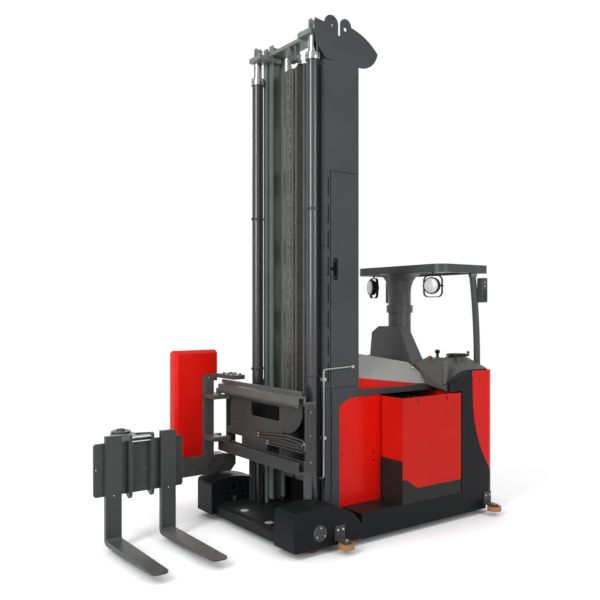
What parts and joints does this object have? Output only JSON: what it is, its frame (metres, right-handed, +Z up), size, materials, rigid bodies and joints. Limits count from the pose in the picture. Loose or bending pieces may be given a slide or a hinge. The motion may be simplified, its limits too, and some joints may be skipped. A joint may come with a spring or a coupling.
{
  "type": "sit-down turret reach truck",
  "caption": "Seated-operator turret truck for very narrow aisles, with a tall two-stage mast, a traversing head and a fork carriage that swings to either side.",
  "frame": {"origin": "bottom centre of the truck's bounding box, on the floor", "axes": "+X towards the fork end, +Y to the truck's left, +Z up"},
  "size_m": [3.413, 1.79, 4.1702],
  "materials": {
    "frame_grey": "semi-gloss dark grey paint",
    "mast_grey": "semi-gloss dark grey paint",
    "channel_grey": "warm grey sheet",
    "signal_red": "gloss red paint",
    "hood_grey": "textured light grey",
    "interior_grey": "textured dark grey",
    "fork_steel": "dark grey paint",
    "bare_steel": "machined",
    "polished_rod": "hard chrome",
    "cast_hub": "painted casting",
    "polyurethane": "brown polyurethane",
    "drive_rubber": "black polyurethane",
    "roller_tan": "tan polyurethane",
    "chain_steel": "oiled chain",
    "black_plastic": "moulded black",
    "hose_rubber": "black hose",
    "seat_fabric": "woven black",
    "battery_lead": "cell tops"
  },
  "bodies": {
    "chassis": {"base_frame": "frame_grey", "tray_rollers": "bare_steel", "wheel_covers": "frame_grey", "load_axles": "bare_steel", "front_step": "frame_grey", "guide_roller_brackets": "frame_grey", "front_side_panels": "signal_red", "top_frame": "frame_grey", "hood": "hood_grey", "right_side_cover": "signal_red", "hydraulic_unit": "black_plastic", "rear_body": "frame_grey", "rear_corner_panels": "signal_red", "operator_floor": "frame_grey", "pedals": "black_plastic", "seat_base": "interior_grey", "seat_cushion": "seat_fabric", "seat_back": "seat_fabric", "console": "interior_grey", "guard_column": "frame_grey", "guard_posts": "frame_grey", "overhead_guard": "frame_grey", "work_lamps": "black_plastic", "outer_mast": "mast_grey", "lift_cylinders": "frame_grey", "mast_cover": "mast_grey", "mast_pipe": "bare_steel", "sheave_guard": "mast_grey"},
    "inner_mast": {"inner_mast": "mast_grey", "hose_channels": "channel_grey", "lift_rods": "polished_rod", "chain_sheave": "bare_steel", "front_chain": "chain_steel", "rear_chain": "chain_steel"},
    "lift_carriage": {"traverse_frame": "frame_grey", "carriage_plate": "frame_grey", "traverse_hoses": "hose_rubber"},
    "traverse_head": {"head_frame": "frame_grey", "head_cover": "signal_red"},
    "swinging_fork_carriage": {"fork_carriage": "fork_steel", "forks": "fork_steel"},
    "battery": {"battery_case": "signal_red", "battery_cells": "battery_lead"},
    "drive_unit": {"drive_unit": "cast_hub"},
    "drive_wheel": {"drive_wheel_tyre": "drive_rubber", "drive_wheel_hub": "cast_hub"},
    "steering_wheel": {"steering_wheel": "black_plastic"},
    "load_wheel_left": {"load_wheel_tyre_left": "polyurethane", "load_wheel_hub_left": "cast_hub"},
    "load_wheel_right": {"load_wheel_tyre_right": "polyurethane", "load_wheel_hub_right": "cast_hub"},
    "guide_roller_front_left": {"guide_roller_front_left": "roller_tan"},
    "guide_roller_front_right": {"guide_roller_front_right": "roller_tan"},
    "guide_roller_rear_left": {"guide_roller_rear_left": "roller_tan"},
    "guide_roller_rear_right": {"guide_roller_rear_right": "roller_tan"}
  },
  "joints": [
    {"name": "mast_lift", "type": "slide", "parent": "chassis", "child": "inner_mast", "axis": [0, 0, 1], "range_m": [0, 2.75]},
    {"name": "carriage_lift", "type": "slide", "parent": "inner_mast", "child": "lift_carriage", "axis": [0, 0, 1], "range_m": [0, 2.75], "deforming": ["front_chain"]},
    {"name": "head_traverse", "type": "slide", "parent": "lift_carriage", "child": "traverse_head", "axis": [0, 1, 0], "range_m": [0, 1.05]},
    {"name": "fork_swing", "type": "hinge", "parent": "traverse_head", "child": "swinging_fork_carriage", "pos_m": [1.3385, -0.7, 0.53], "axis": [0, 0, 1], "range_deg": [-180, 0]},
    {"name": "battery_slide", "type": "slide", "parent": "chassis", "child": "battery", "axis": [0, 1, 0], "range_m": [0, 0.8]},
    {"name": "drive_steer", "type": "hinge", "parent": "chassis", "child": "drive_unit", "pos_m": [-1.4215, -0.2, 0.45], "axis": [0, 0, 1], "range_deg": [-90, 90]},
    {"name": "drive_spin", "type": "hinge", "parent": "drive_unit", "child": "drive_wheel", "pos_m": [-1.4215, -0.2, 0.16], "axis": [0, 1, 0], "continuous": true},
    {"name": "steering_wheel_turn", "type": "hinge", "parent": "chassis", "child": "steering_wheel", "pos_m": [-1.4015, 0.5, 1.392], "axis": [0, 0, 1], "range_deg": [-360, 360]},
    {"name": "load_wheel_spin_left", "type": "hinge", "parent": "chassis", "child": "load_wheel_left", "pos_m": [0.3785, 0.615, 0.165], "axis": [0, 1, 0], "continuous": true},
    {"name": "load_wheel_spin_right", "type": "hinge", "parent": "chassis", "child": "load_wheel_right", "pos_m": [0.3785, -0.615, 0.165], "axis": [0, 1, 0], "continuous": true},
    {"name": "guide_roller_spin_front_left", "type": "hinge", "parent": "chassis", "child": "guide_roller_front_left", "pos_m": [0.1935, 0.835, 0.062], "axis": [0, 0, 1], "continuous": true},
    {"name": "guide_roller_spin_front_right", "type": "hinge", "parent": "chassis", "child": "guide_roller_front_right", "pos_m": [0.1935, -0.835, 0.062], "axis": [0, 0, 1], "continuous": true},
    {"name": "guide_roller_spin_rear_left", "type": "hinge", "parent": "chassis", "child": "guide_roller_rear_left", "pos_m": [-1.5015, 0.835, 0.062], "axis": [0, 0, 1], "continuous": true},
    {"name": "guide_roller_spin_rear_right", "type": "hinge", "parent": "chassis", "child": "guide_roller_rear_right", "pos_m": [-1.5015, -0.835, 0.062], "axis": [0, 0, 1], "continuous": true}
  ],
  "couplings": [
    {"joint": "carriage_lift", "follows": "mast_lift", "ratio": 1},
    {"joint": "steering_wheel_turn", "follows": "drive_steer", "ratio": 4}
  ]
}
